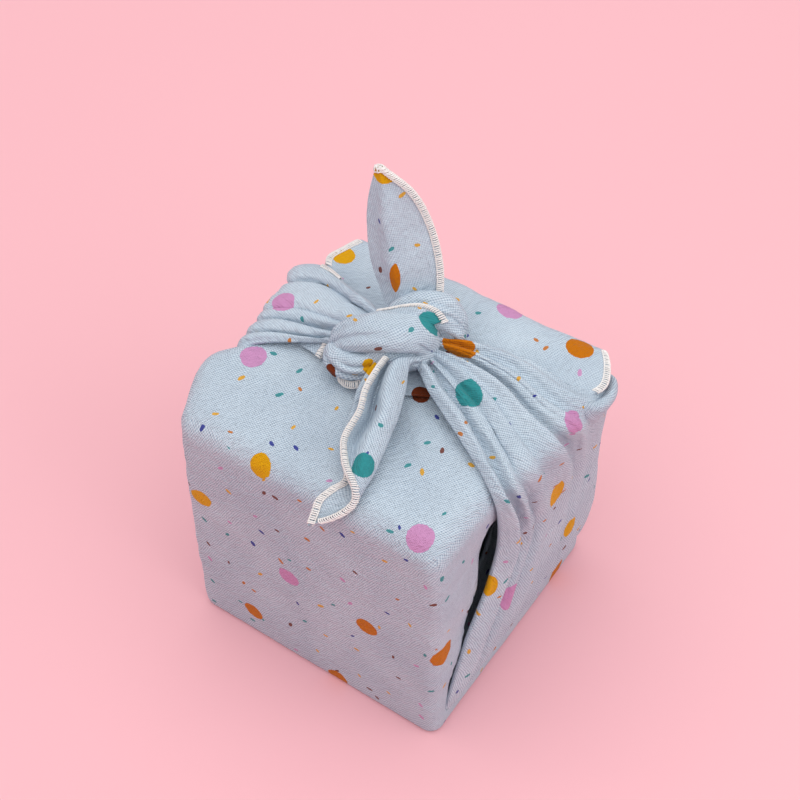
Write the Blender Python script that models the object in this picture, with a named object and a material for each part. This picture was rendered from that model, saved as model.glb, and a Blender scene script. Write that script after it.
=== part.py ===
"""A furoshiki: one square of light double gauze wrapped round a box-shaped present and tied on top.

The cloth is one piece, so the model is one solid. It is a hollow shell two layers of gauze thick: a
bottom, the front and back panels that go up and over the top, the back flap with its overlocked edge,
the left and right corners that are gathered up over the sides into strands, the square knot and the
two free tails. The space inside is empty, and it is open through the pocket at the right side.

X runs to the right, Y to the back and Z up. The origin is on the floor under the middle of the body.
The tables are in millimetres, and MM turns them into metres.
"""

import math

import bmesh
import bpy
import numpy as np

MM = 0.001

# Driving dimensions, in millimetres.
BODY_WIDTH = 116.0
BODY_DEPTH = 113.0
BODY_HEIGHT = 128.0
CLOTH = 2.0                 # the thickness of a wall, a fold and a tail
UPRIGHT_EDGE_RADIUS = 5.5   # the four upright edges of the body
TOP_EDGE_RADIUS = 6.0
BOTTOM_EDGE_RADIUS = 2.5
LEAST_CORNER_RADIUS = 2.0   # at the smallest rings of the top and the bottom
GROUND_FADE = 14.0          # below this height the bulges die away, so that the bottom stays flat

# How finely each form is divided.
CORNER_STEPS = 4            # segments round one upright edge
SIDE_STEPS = 7              # segments along one side of a ring
EDGE_STEPS = 3              # rings round the top or bottom edge
WALL_STEPS = 7              # rings up a wall
CAP_STEPS = 3               # rings across the top and the bottom
CAP_REACH = 0.92            # how far in the smallest ring lies, as a share of half the body's depth
STRAND_STEPS = 20           # sections along a strand, from the knot to the floor
TAIL_STEPS = 11
FLAP_STEPS = 12
INNER_CORNER_STEPS = 4
POINTS_PER_FOLD = 2         # points from one fold line to the next
ROLL_STEPS = 12             # sections along a roll of the knot
ROLL_SIDES = 16
ROLL_END_POWER = 6          # the higher, the blunter the rounded end of a roll
ROLL_END_LEAST = 0.12       # the square of the last section's share of the full size
FOLD_THICKNESS_CLAMP = 0.9  # keeps the two faces of a tight fold apart

# The rolls of the knot are creased along their run, and the creases turn round them.
ROLL_CREASES = 4
ROLL_CREASE_DEPTH = 0.07    # as a share of the roll's half width
ROLL_TWIST = 1.2            # radians from end to end

CLOTH_COLOUR = (0.56, 0.66, 0.78, 1.0)
CLOTH_ROUGHNESS = 0.9

# Soft bulges and hollows of the body. Each moves the cloth near a point by its push.
# name, x, y, z, reach, push x, push y, push z
BULGES = (
    ("back right corner", 58, 56, 78, 34, 1.4, 1.4, 0.0),
    ("back right shoulder", 58, 54, 118, 20, 1.4, 1.0, 0.0),
    ("soft back left corner", -58, 57, 127, 14, 2.0, -2.0, -2.5),
    ("front panel belly", -4, -56, 52, 44, 0.0, -1.0, 0.0),
    ("back panel belly", 4, 56, 56, 44, 0.0, 1.2, 0.0),
    ("left side belly", -57, 6, 60, 40, -1.0, 0.0, 0.0),
    ("puffed left flank", -58, -25, 125, 19, -6.5, 0.0, 3.0),
    ("front left edge", -58, -57, 64, 46, -1.6, -0.4, 0.0),
    ("soft front right corner", 58, -56, 128, 16, -1.2, 1.2, -1.5),
    ("sag of the top", -6, -34, 128, 30, 0.0, 0.0, -1.2),
    ("hollow behind the pocket", 57, -20, 92, 15, -3.4, 0.0, 0.0),
    ("hollow below the pocket", 57, -36, 60, 14, -2.2, 0.0, 0.0),
)

# The opening of the shell inside the right pocket, as seen from the right.
# place, y, z
POCKET_OUTLINE = (
    ("top front", -25.0, 108.0),
    ("top back", -12.0, 108.0),
    ("middle back", -14.0, 82.0),
    ("foot", -36.0, 52.0),
    ("middle front", -29.0, 80.0),
)
POCKET_CUT_FROM = 48.0      # the cut runs from this x out through the right wall
POCKET_CUT_TO = 60.0

# A strand is a strip of cloth between its front and its back outline, from the knot to the floor.
# place, front x, y, z, back x, y, z
RIGHT_STRAND = (
    ("in the knot", 2, 3, 138, 5, 20, 141),
    ("by the knot", 17, -1, 136, 21, 27, 139),
    ("top", 33, -8, 133.5, 40, 32, 136),
    ("near the edge", 48, -16, 132, 57, 36, 133.5),
    ("over the edge", 59.5, -22, 128.5, 69, 45, 130.5),
    ("shoulder", 62.5, -21, 117, 67, 51, 119),
    ("upper side", 62.5, -19.5, 96, 62.8, 55.5, 97),
    ("middle", 61.5, -24, 76, 61.2, 56, 72),
    ("lower side", 60.5, -35.5, 49, 62, 56, 44),
    ("low", 59.5, -43, 22, 60, 55, 20),
    ("at the floor", 56.2, -49, 4, 56.2, 50, 4),
)
LEFT_STRAND = (
    ("in the knot", -12, -1, 137, -8, 15, 141),
    ("by the knot", -26, 0.5, 134.5, -22, 18.5, 142),
    ("top", -38, -4, 132.5, -38, 24.5, 138),
    ("near the edge", -50, -10, 131, -52, 29, 135),
    ("over the edge", -59, -15.5, 128, -63, 28, 130),
    ("shoulder", -62, -18, 118, -64.5, 37, 119),
    ("upper side", -62, -22, 97, -63.5, 48, 97),
    ("middle", -61, -29, 74, -62, 52, 74),
    ("lower side", -60.3, -38, 47, -60.6, 54, 46),
    ("low", -59.3, -45, 22, -59.3, 54, 20),
    ("at the floor", -56.2, -49, 4, -56.2, 50, 4),
)

# The folds across a strand. Across is the share of the way from the front to the back outline, and
# rise is the height over the straight line between them. Both are given at the knot, at the top edge
# of the body, halfway down the side and at the floor.
FOLD_PLACES = (0.0, 0.42, 0.70, 1.0)
# name, across at each place, rise at each place
RIGHT_FOLDS = (
    ("front outline", 0.00, 0.00, 0.00, 0.00, 0.0, -2.2, -1.2, 0.0),
    ("front roll", 0.10, 0.04, 0.07, 0.05, 1.4, 2.4, 2.0, 0.5),
    ("first crease", 0.22, 0.11, 0.19, 0.11, 0.4, 0.2, 0.2, 0.1),
    ("second ridge", 0.32, 0.16, 0.25, 0.18, 1.2, 2.2, 1.8, 0.4),
    ("second crease", 0.40, 0.22, 0.32, 0.28, 1.0, 1.0, 0.6, 0.2),
    ("dotted panel", 0.52, 0.40, 0.48, 0.50, 2.0, 3.0, 1.8, 0.4),
    ("deep crease", 0.64, 0.61, 0.66, 0.68, 0.9, -0.4, 0.6, 0.1),
    ("high ridge", 0.76, 0.76, 0.78, 0.80, 2.0, 3.4, 2.2, 0.5),
    ("third crease", 0.86, 0.87, 0.88, 0.89, 1.2, 1.4, 0.8, 0.2),
    ("back ridge", 0.94, 0.94, 0.94, 0.95, 1.2, 2.0, 1.4, 0.3),
    ("back outline", 1.00, 1.00, 1.00, 1.00, 0.0, -0.6, -0.6, 0.0),
)
LEFT_FOLDS = (
    ("front outline", 0.00, 0.00, 0.00, 0.00, 0.0, -2.0, -1.2, 0.0),
    ("first ridge", 0.13, 0.06, 0.09, 0.06, 1.0, 2.0, 1.8, 0.4),
    ("first crease", 0.27, 0.14, 0.18, 0.14, 0.2, 0.2, 0.2, 0.1),
    ("second ridge", 0.37, 0.24, 0.28, 0.26, 1.2, 2.6, 1.8, 0.4),
    ("second crease", 0.48, 0.34, 0.38, 0.36, 0.2, 0.0, 0.2, 0.1),
    ("dotted panel", 0.62, 0.53, 0.54, 0.52, 1.6, 3.4, 2.2, 0.5),
    ("deep crease", 0.77, 0.72, 0.70, 0.68, 0.0, -0.2, 0.4, 0.1),
    ("back roll", 0.89, 0.86, 0.86, 0.84, 1.4, 3.8, 2.4, 0.5),
    ("back outline", 1.00, 1.00, 1.00, 1.00, 0.0, -2.0, -1.0, 0.0),
)

# The back flap: it leaves the back panel, lies over the top and ends in a corner under the knot.
# place, right end x, y, z, left end x, y, z
BACK_FLAP = (
    ("in the back panel", 55.0, 55.4, 106, -50.0, 55.0, 106),
    ("back panel", 56.0, 57.8, 119, -51.0, 55.0, 118),
    ("back edge", 58.0, 56.6, 130.0, -51.0, 53.0, 127.6),
    ("behind the edge", 64.5, 49.5, 132.0, -53.5, 44.0, 129.4),
    ("widest", 67.0, 38.0, 130.4, -55.0, 35.0, 130.2),
    ("narrowing", 47, 24, 129.8, -44, 26, 129.8),
    ("under the strands", 28, 10, 129.4, -26, 12, 129.4),
    ("corner", 5, -3, 129.2, -5, -3, 129.2),
)
# name, across at each place, rise at each place
FLAP_FOLDS = (
    ("right edge", 0.00, 0.00, 0.00, 0.00, 0.0, 0.6, 0.8, 0.0),
    ("right quarter", 0.22, 0.22, 0.22, 0.22, 0.0, -0.3, -0.4, 0.0),
    ("middle", 0.55, 0.55, 0.55, 0.55, 0.0, 0.5, 0.4, 0.0),
    ("left quarter", 0.82, 0.82, 0.82, 0.82, 0.0, -0.2, -0.4, 0.0),
    ("left edge", 1.00, 1.00, 1.00, 1.00, 0.0, 0.4, 0.8, 0.0),
)

# The free tails, from the knot to the tip.
# place, left edge x, y, z, right edge x, y, z
UPRIGHT_TAIL = (
    ("in the knot", -11, 14, 138, 3, 25, 140),
    ("root", -17.7, 20, 147, 0.5, 32.2, 150),
    ("lower third", -23.5, 22, 158, -3.0, 36.8, 162),
    ("middle", -27.8, 25, 170, -9.8, 40.5, 175),
    ("upper third", -31.0, 29.5, 184, -18.0, 40.5, 188),
    ("tip", -31.5, 35.6, 198, -29.2, 36.8, 198),
)
UPRIGHT_FOLDS = (
    ("left edge", 0.00, 0.00, 0.00, 0.00, 0.0, -3.0, -2.4, 0.0),
    ("left third", 0.16, 0.14, 0.16, 0.25, 1.0, -0.6, -0.6, 0.0),
    ("lengthwise crease", 0.34, 0.32, 0.32, 0.45, 0.0, 2.8, 2.2, 0.0),
    ("right panel", 0.66, 0.66, 0.64, 0.70, -1.0, 0.4, 0.3, 0.0),
    ("right edge", 1.00, 1.00, 1.00, 1.00, 0.0, -1.6, -1.2, 0.0),
)
# It is folded in two along its length, and the fold is its right outline.
# place, right outline x, y, z, left outline x, y, z
HANGING_TAIL = (
    ("in the knot", 8, 8, 141, -3, 5, 141),
    ("root", 9.5, 1, 143.5, -2.5, -5, 143.5),
    ("upper third", 12.5, -11, 141, -3.0, -14.5, 140.5),
    ("middle", 16.4, -22.5, 138, 0.0, -28, 138),
    ("lower third", 19.8, -36, 135.5, 3.0, -41, 135.5),
    ("mouth", 20.5, -49, 131.8, 4.5, -51, 131.5),
    ("end", 16.0, -58.5, 128, 4.5, -59, 126.5),
    ("tip", 9.4, -66.8, 123.4, 6.2, -65.8, 122.8),
)
HANGING_FOLDS = (
    ("upper edge", 1.00, 1.00, 0.90, 0.90, 1.6, 4.4, 4.0, 1.6),
    ("trough", 0.62, 0.62, 0.60, 0.60, 1.0, 0.6, 1.2, 1.6),
    ("roll", 0.25, 0.25, 0.25, 0.30, 2.2, 3.4, 2.8, 1.8),
    ("right outline", 0.00, 0.00, 0.00, 0.00, 0.0, 0.0, 0.0, 0.0),
    ("under layer", 0.30, 0.30, 0.30, 0.35, -2.2, -2.6, -2.4, -1.8),
    ("lower edge", 0.95, 0.95, 1.05, 1.00, -2.2, -2.4, -2.0, -1.8),
)

# The corner of an inner flap that peeps out between the left strand and the knot.
INNER_CORNER = (
    ("in the knot", -19, -2, 133, -21, 5, 134),
    ("middle", -27, -2.5, 130.8, -31, 3.5, 131.2),
    ("tip", -32.4, -4, 129.8, -34.6, -2.2, 129.8),
)
INNER_CORNER_FOLDS = (
    ("front edge", 0.00, 0.00, 0.00, 0.00, 0.0, 0.0, 0.0, 0.0),
    ("middle", 0.50, 0.50, 0.50, 0.50, 0.0, 0.6, 0.5, 0.2),
    ("back edge", 1.00, 1.00, 1.00, 1.00, 0.0, 0.0, 0.0, 0.0),
)

# The strips that lie round the body, and those that come out of the knot, in the order they are added.
# name, stations, folds, steps along, 1 or -1 for a strip that runs the other way round
WRAPPED_CORNERS = (
    ("back_flap", BACK_FLAP, FLAP_FOLDS, FLAP_STEPS, 1),
    ("right_strand", RIGHT_STRAND, RIGHT_FOLDS, STRAND_STEPS, -1),
    ("left_strand", LEFT_STRAND, LEFT_FOLDS, STRAND_STEPS, 1),
)
KNOT_ENDS = (
    ("inner_corner", INNER_CORNER, INNER_CORNER_FOLDS, INNER_CORNER_STEPS),
    ("upright_tail", UPRIGHT_TAIL, UPRIGHT_FOLDS, TAIL_STEPS),
    ("hanging_tail", HANGING_TAIL, HANGING_FOLDS, TAIL_STEPS),
)

# The rolls of the knot: tight bundles of cloth. Each has the direction that its width lies in and a
# row of sections along its run.
# x, y, z, half width, half thickness
KNOT_ROLLS = {
    "core": ((-0.35, 0.93, 0.0), (
        (-20.1, 2.3, 136.1, 9.0, 7.0),
        (-7.9, 8.1, 138.1, 14.0, 9.0),
        (4.1, 14.2, 138, 13.0, 9.0),
        (12.3, 17.4, 137.3, 8.0, 6.0),
    )),
    "back loop": ((-0.5, 0.7, 0.5), (
        (-11.7, 13, 144.3, 5.5, 3.5),
        (-2.9, 21.3, 149.2, 6.5, 3.5),
        (6.5, 24.9, 148.9, 7.0, 3.5),
        (13.1, 24.6, 143.1, 6.0, 3.5),
        (15.7, 22.1, 136.5, 5.0, 3.5),
    )),
    "front band": ((-0.35, 0.93, 0.0), (
        (-24.1, -2.6, 134, 6.5, 4.5),
        (-22.1, 0.4, 141.1, 7.5, 5.0),
        (-13.9, 4.1, 146, 8.5, 5.5),
        (-3.9, 8, 147.1, 8.5, 5.5),
        (5.1, 11.7, 144.3, 7.5, 5.0),
        (8.6, 11.9, 137.5, 6.5, 4.5),
    )),
    "left lobe": ((0.0, 0.0, 1.0), (
        (-23.9, -1.1, 135.5, 6.0, 5.0),
        (-19.8, -7.1, 135.5, 6.5, 5.0),
        (-11.7, -9, 135.6, 6.5, 5.0),
        (-3.8, -3.6, 135.2, 6.0, 5.0),
    )),
}


def smooth_rows(rows, places):
    """Values on the smooth curves through equally spaced rows, read at places from 0 to 1."""
    rows = np.asarray(rows, dtype=float)
    padded = np.vstack((2 * rows[0] - rows[1], rows, 2 * rows[-1] - rows[-2]))
    spot = np.clip(np.asarray(places, dtype=float), 0.0, 1.0) * (len(rows) - 1)
    start = np.minimum(spot.astype(int), len(rows) - 2)
    t = (spot - start)[:, None]
    before, left, right, after = (padded[start + step] for step in range(4))
    return 0.5 * (2 * left + (right - before) * t
                  + (2 * before - 5 * left + 4 * right - after) * t ** 2
                  + (3 * left - before - 3 * right + after) * t ** 3)


def unit(vectors):
    return vectors / np.linalg.norm(vectors, axis=-1, keepdims=True)


def strip_grid(stations, folds, steps, facing=1):
    """Points of a folded strip: a row for each section from its first station to its last.

    Facing is -1 where the strip runs the other way round, so that its folds still rise outward."""
    places = np.linspace(0.0, 1.0, steps + 1)
    rails = smooth_rows([row[1:] for row in stations], places)
    front, back = rails[:, :3], rails[:, 3:]
    across = back - front
    along = np.gradient((front + back) / 2, axis=0)
    lift = facing * unit(np.cross(across, along))

    count = len(FOLD_PLACES)
    shares = np.array([np.interp(places, FOLD_PLACES, row[1:1 + count]) for row in folds])
    rises = np.array([np.interp(places, FOLD_PLACES, row[1 + count:]) for row in folds])
    between = np.linspace(0.0, 1.0, (len(folds) - 1) * POINTS_PER_FOLD + 1)
    share = smooth_rows(shares, between).T[:, :, None]
    rise = smooth_rows(rises, between).T[:, :, None]
    return front[:, None] + across[:, None] * share + lift[:, None] * rise


def ring_points(half_x, half_y, radius):
    """Points round a rounded rectangle, anticlockwise seen from above."""
    points = []
    for corner, (sign_x, sign_y) in enumerate(((1, 1), (-1, 1), (-1, -1), (1, -1))):
        centre = np.array((sign_x * (half_x - radius), sign_y * (half_y - radius)))
        angles = math.radians(90) * (corner + np.linspace(0.0, 1.0, CORNER_STEPS + 1))
        arc = centre + radius * np.column_stack((np.cos(angles), np.sin(angles)))
        points.extend(arc)
        next_x, next_y = ((-1, 1), (-1, -1), (1, -1), (1, 1))[corner]
        far = np.array((next_x * (half_x - radius), next_y * (half_y - radius)))
        far += radius * np.array((math.cos(angles[-1]), math.sin(angles[-1])))
        for step in range(1, SIDE_STEPS):
            points.append(arc[-1] + (far - arc[-1]) * step / SIDE_STEPS)
    return np.array(points)


def body_profile():
    """Inset from the walls and height of each ring, from the middle of the bottom to that of the top."""
    turns = np.linspace(0.0, math.radians(90), EDGE_STEPS + 1)
    caps = np.linspace(CAP_REACH * BODY_DEPTH / 2, 0.0, CAP_STEPS, endpoint=False)
    bottom = [(max(inset, BOTTOM_EDGE_RADIUS), 0.0) for inset in caps]
    bottom_edge = [(BOTTOM_EDGE_RADIUS * (1 - math.sin(a)), BOTTOM_EDGE_RADIUS * (1 - math.cos(a)))
                   for a in turns]
    heights = np.linspace(BOTTOM_EDGE_RADIUS, BODY_HEIGHT - TOP_EDGE_RADIUS, WALL_STEPS + 1)[1:-1]
    wall = [(0.0, height) for height in heights]
    top_edge = [(TOP_EDGE_RADIUS * (1 - math.cos(a)), BODY_HEIGHT - TOP_EDGE_RADIUS * (1 - math.sin(a)))
                for a in turns]
    top = [(max(inset, TOP_EDGE_RADIUS), BODY_HEIGHT) for inset in caps[::-1]]
    return bottom + bottom_edge + wall + top_edge + top


def settle(points):
    """The points moved by the body's soft bulges, less and less towards the floor."""
    moved = points.copy()
    grounded = np.clip(points[:, 2:] / GROUND_FADE, 0.0, 1.0)
    for _, x, y, z, reach, push_x, push_y, push_z in BULGES:
        distance = np.linalg.norm(points - (x, y, z), axis=1, keepdims=True)
        moved += grounded * np.exp(-(distance / reach) ** 2) * (push_x, push_y, push_z)
    return moved


def body_mesh(name, inset):
    """The body's closed form, lying inside its outer face by the inset."""
    rings = []
    scale_x, scale_y = 1 - 2 * inset / BODY_WIDTH, 1 - 2 * inset / BODY_DEPTH
    for ring_inset, height in body_profile():
        radius = max(UPRIGHT_EDGE_RADIUS - ring_inset / 2, LEAST_CORNER_RADIUS)
        ring = ring_points(BODY_WIDTH / 2 - ring_inset, BODY_DEPTH / 2 - ring_inset, radius)
        level = np.full((len(ring), 1), float(height))
        settled = settle(np.hstack((ring, level)))
        rings.append(settled * (scale_x, scale_y, 1 - 2 * inset / BODY_HEIGHT) + (0, 0, inset))
    return closed_tube(name, np.array(rings))


def add_object(name, bm):
    mesh = bpy.data.meshes.new(name)
    bmesh.ops.recalc_face_normals(bm, faces=bm.faces)
    bm.to_mesh(mesh)
    bm.free()
    mesh.shade_smooth()
    shape = bpy.data.objects.new(name, mesh)
    bpy.context.collection.objects.link(shape)
    return shape


def closed_tube(name, rings):
    """A closed form through rings of points, with a point in the middle of each end."""
    bm = bmesh.new()
    loops = [[bm.verts.new(point * MM) for point in ring] for ring in rings]
    sides = len(loops[0])
    for lower, upper in zip(loops, loops[1:]):
        for side in range(sides):
            after = (side + 1) % sides
            bm.faces.new((lower[side], lower[after], upper[after], upper[side]))
    for loop, ring in ((loops[0], rings[0]), (loops[-1], rings[-1])):
        middle = bm.verts.new(ring.mean(axis=0) * MM)
        for side in range(sides):
            bm.faces.new((loop[side], loop[(side + 1) % sides], middle))
    return add_object(name, bm)


def roll_form(name, width_direction, sections):
    """A bundle of cloth along a curved run, with rounded ends."""
    places = 0.5 - 0.5 * np.cos(np.linspace(0.0, math.pi, ROLL_STEPS + 1))
    run = smooth_rows(sections, places)
    centre, half_width, half_thickness = run[:, :3], run[:, 3:4], run[:, 4:5]
    along = unit(np.gradient(centre, axis=0))
    thick = unit(np.cross(along, width_direction))
    wide = np.cross(thick, along)
    taper = np.sqrt(np.clip(1 - (2 * places - 1) ** ROLL_END_POWER, ROLL_END_LEAST, 1.0))[:, None]
    turn = ROLL_TWIST * places[:, None]
    rings = []
    for angle in np.linspace(0.0, 2 * math.pi, ROLL_SIDES, endpoint=False):
        reach = taper * (1 + ROLL_CREASE_DEPTH * np.cos(ROLL_CREASES * (angle - turn)))
        rings.append(centre + reach * (wide * half_width * math.cos(angle)
                                       + thick * half_thickness * math.sin(angle)))
    return closed_tube(name, np.array(rings).transpose(1, 0, 2))


def strip_form(name, stations, folds, steps, facing=1):
    """A folded strip of cloth with its thickness."""
    grid = strip_grid(stations, folds, steps, facing)
    bm = bmesh.new()
    rows = [[bm.verts.new(point * MM) for point in row] for row in grid]
    for row, further in zip(rows, rows[1:]):
        for place in range(len(row) - 1):
            bm.faces.new((row[place], row[place + 1], further[place + 1], further[place]))
    shape = add_object(name, bm)
    solid = shape.modifiers.new("cloth thickness", "SOLIDIFY")
    solid.thickness = CLOTH * MM
    solid.offset = 0.0
    solid.use_even_offset = True
    solid.thickness_clamp = FOLD_THICKNESS_CLAMP
    return shape


def pocket_form():
    """The wedge that opens the right wall inside the pocket."""
    bm = bmesh.new()
    ends = [[bm.verts.new((x * MM, y * MM, z * MM)) for _, y, z in POCKET_OUTLINE]
            for x in (POCKET_CUT_FROM, POCKET_CUT_TO)]
    count = len(POCKET_OUTLINE)
    for corner in range(count):
        after = (corner + 1) % count
        bm.faces.new((ends[0][corner], ends[0][after], ends[1][after], ends[1][corner]))
    bm.faces.new(ends[0])
    bm.faces.new(ends[1])
    return add_object("pocket_cut", bm)


def combine(shape, other, operation):
    """Adds the other form to the shape, or cuts it away, and keeps it as a hidden guide."""
    other.hide_render = True
    other.display_type = "WIRE"
    modifier = shape.modifiers.new(f"{operation.lower()} {other.name}", "BOOLEAN")
    modifier.operation = operation
    modifier.solver = "EXACT"
    modifier.object = other


def cloth_material():
    material = bpy.data.materials.new("light_blue_double_gauze")
    material.use_nodes = True
    shader = material.node_tree.nodes["Principled BSDF"]
    shader.inputs["Base Color"].default_value = CLOTH_COLOUR
    shader.inputs["Roughness"].default_value = CLOTH_ROUGHNESS
    shader.inputs["Metallic"].default_value = 0.0
    return material


def build_furoshiki():
    cloth = body_mesh("furoshiki_cloth", 0.0)
    combine(cloth, body_mesh("room_inside", CLOTH), "DIFFERENCE")
    combine(cloth, pocket_form(), "DIFFERENCE")
    for name, stations, folds, steps, facing in WRAPPED_CORNERS:
        combine(cloth, strip_form(name, stations, folds, steps, facing), "UNION")
    for name, (width_direction, sections) in KNOT_ROLLS.items():
        combine(cloth, roll_form(name.replace(" ", "_"), width_direction, sections), "UNION")
    for name, stations, folds, steps in KNOT_ENDS:
        combine(cloth, strip_form(name, stations, folds, steps), "UNION")
    cloth.data.materials.append(cloth_material())
    return cloth


for item in list(bpy.data.objects):
    bpy.data.objects.remove(item)
build_furoshiki()
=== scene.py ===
"""The looks of a furoshiki: one square of light blue double gauze wrapped round a box-shaped present.

Every part of the one cloth is a thin sheet on the folds of its solid. The tables are in millimetres in
the frame of the part, and MM turns them into metres.
"""

from math import atan2, cos, exp, pi, radians, sin

import bmesh
import bpy
import numpy as np
from mathutils import Matrix, Vector, noise


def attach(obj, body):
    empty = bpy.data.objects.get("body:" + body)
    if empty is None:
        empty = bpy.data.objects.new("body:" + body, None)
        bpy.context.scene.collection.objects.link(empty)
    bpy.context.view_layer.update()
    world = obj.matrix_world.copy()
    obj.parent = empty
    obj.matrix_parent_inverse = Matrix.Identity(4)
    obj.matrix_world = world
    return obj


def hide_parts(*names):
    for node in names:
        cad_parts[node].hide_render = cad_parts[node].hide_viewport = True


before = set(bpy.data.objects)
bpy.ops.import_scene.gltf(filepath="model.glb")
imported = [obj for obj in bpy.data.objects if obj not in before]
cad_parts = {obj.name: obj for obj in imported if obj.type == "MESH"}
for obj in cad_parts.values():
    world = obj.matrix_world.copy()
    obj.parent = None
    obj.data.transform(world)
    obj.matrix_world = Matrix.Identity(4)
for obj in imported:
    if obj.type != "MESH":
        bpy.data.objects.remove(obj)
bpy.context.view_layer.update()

MM = 0.001
NODE = "furoshiki_cloth"

# The body, as in the part.
BODY_WIDTH = 116.0
BODY_DEPTH = 113.0
BODY_HEIGHT = 128.0
UPRIGHT_EDGE_RADIUS = 5.5
TOP_EDGE_RADIUS = 9.0
BOTTOM_EDGE_RADIUS = 2.5
LEAST_CORNER_RADIUS = 2.0
GROUND_FADE = 14.0  # soft forms come in over this height; the bottom stays flat

SHEET = 1.1  # the thickness of a sheet
THIN_SHEET = 0.7  # that of a strand, whose creases are narrow
SKIN = 0.45  # a sheet's middle lies this far outside the middle of its solid

# The soft pleats of the top round the knot.
GATHER_MIDDLE = (-12.0, 2.0)
GATHER_LEVEL = 118.0  # they begin here and are full a little higher
GATHER_RISE = 4.0
GATHER_COUNT = 2.6
GATHER_HEIGHT = 4.4
GATHER_REACH = 34.0
GATHER_LENGTH = 70.0  # the way outward over which a pleat changes
GATHER_BACK = 8.0  # behind this y they are gone
GATHER_FADE = 16.0

LEVEL_FACING = 0.7  # a face that points up or down more than this lies on the top or bottom

# The soft ripples of the panels. height, lean, width, length, shift, octaves
RIPPLES = ((0.9, 0, 26, 40, 0, 3), (0.35, 1, 9, 22, 5, 2))
RIPPLE_NOISE = (0.9, 2.0)  # how fast the finer octaves fade, and how much finer each is
WRINKLE_NOISE = (0.9, 2.1, 3)
SEED_STEP = 7.3

SOFTENED_PART = 16  # a strip's folds are softened over one in this many rows,
CREASED_PART = 20  # and the directions of its creases over one in this many
CREASE_FADES = (0.08, 0.12)  # over these shares of its length a crease comes in and goes out
ROLL_FADES = (0.15, 0.15)
ROLL_END = 0.12  # the square of a roll's thickness at its ends
ROLL_BLUNTNESS = 6
RIM_TURN = (90, 10, 6)  # an outline rolls under from and to these degrees, in this many rows
RIM_DEPTH = 1.3  # how deep its tucked end lies, in radii

# How finely each form is divided.
CORNER_STEPS = 8
SIDE_STEPS = 34
EDGE_STEPS = 7
WALL_STEPS = 44
CAP_STEPS = 16
CAP_REACH = 0.92  # the rings of the top and bottom reach this share of the way in

# Soft bulges and hollows of the body. Each moves the cloth near a point by its push.
# name, x, y, z, reach, push x, push y, push z
BULGES = (
    ("back right corner", 58, 56, 78, 34, 1.4, 1.4, 0),
    ("back right shoulder", 58, 54, 118, 20, 1.4, 1, 0),
    ("soft back left corner", -58, 57, 127, 18, 5, -4.6, -6),
    ("front panel belly", -4, -56, 52, 44, 0, -1, 0),
    ("back panel belly", 4, 56, 56, 44, 0, 1.2, 0),
    ("left side belly", -57, 6, 60, 40, -1, 0, 0),
    ("puffed left flank", -58, -31, 127, 17, -9, 0, 4.4),
    ("front left edge", -58, -57, 64, 46, -1.6, -0.4, 0),
    ("soft front right corner", 58, -56, 128, 16, -1.2, 1.2, -1.5),
    ("sag of the top", -6, -34, 128, 30, 0, 0, -1.2),
    ("hollow behind the pocket", 57, -20, 92, 15, -3.4, 0, 0),
    ("hollow below the pocket", 57, -36, 60, 14, -2.2, 0, 0),
)

# The line along which the front panel turns into the right pocket, as seen from the right.
# z, y, depth, length of the turn
POCKET_LINE = (
    (0, -53, 0, 4),
    (14, -50, 1.5, 5),
    (32, -46.5, 5, 6),
    (45, -39.5, 7.5, 7),
    (59, -33.5, 10.5, 7),
    (76, -25.5, 14, 6),
    (95, -18.5, 13, 6),
    (104, -15, 8, 6),
    (114, -12, 0, 6),
    (140, -12, 0, 6),
)
POCKET_BACK = (46, 8)  # how far behind the line it rises again, and over what length
# The slit that opens it into the room inside.
# place, y, z
POCKET_OUTLINE = (
    ("top front", -22, 108),
    ("top back", 6, 106),
    ("middle back", 12, 80),
    ("low back", -6, 60),
    ("foot", -31.5, 57),
    ("middle front", -27, 80),
)
POCKET_CUT = (40, 70)  # from x to x
POCKET_SIDE = (50, 6)  # its line works on what lies right of this x, fully so this much further on

# A strand is a strip of cloth between its front and its back outline, from the knot to the floor.
# place, front x, y, z, back x, y, z
RIGHT_STRAND = (
    ("in the knot", 4.5, 8, 137, 6, 20, 140),
    ("by the knot", 16, 0.5, 135.5, 22, 29, 139),
    ("top", 33, -8, 133.5, 40.5, 33.5, 136),
    ("near the edge", 48, -16, 132, 57, 33.5, 133.2),
    ("over the edge", 59.5, -22, 128.5, 67, 42, 129.5),
    ("shoulder", 62.5, -21, 117, 66.2, 51, 118),
    ("upper side", 62.5, -19.5, 96, 62.8, 55.5, 97),
    ("middle", 61.5, -24, 76, 61.2, 56, 72),
    ("lower side", 60.5, -37.8, 49, 62, 56, 44),
    ("low", 59.5, -46.5, 22, 60, 55, 20),
    ("at the floor", 56.2, -49, 4, 56.2, 50, 4),
)
LEFT_STRAND = (
    ("in the knot", -12, -1, 137, -8, 15, 141),
    ("by the knot", -26, 0.5, 134.5, -22, 18.5, 142),
    ("top", -38, -4, 132.5, -38, 24.5, 138),
    ("near the edge", -50, -10, 131, -52, 29, 135),
    ("over the edge", -59, -15.5, 128, -63, 28, 130),
    ("shoulder", -62, -18, 118, -64.5, 37, 119),
    ("upper side", -62, -22, 97, -63.5, 48, 97),
    ("middle", -61, -29, 74, -62, 52, 74),
    ("lower side", -60.3, -38, 47, -60.6, 54, 46),
    ("low", -59.3, -45, 22, -59.3, 54, 20),
    ("at the floor", -56.2, -49, 4, -56.2, 50, 4),
)

# The folds across a strip, at places along it: across is the share of the way from the front outline to
# the back one, and rise is the height over the straight line between them.
STRAND_PLACES = (0, 0.2, 0.42, 0.55, 0.7, 1)
FOLD_PLACES = (0, 0.42, 0.7, 1)
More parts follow.
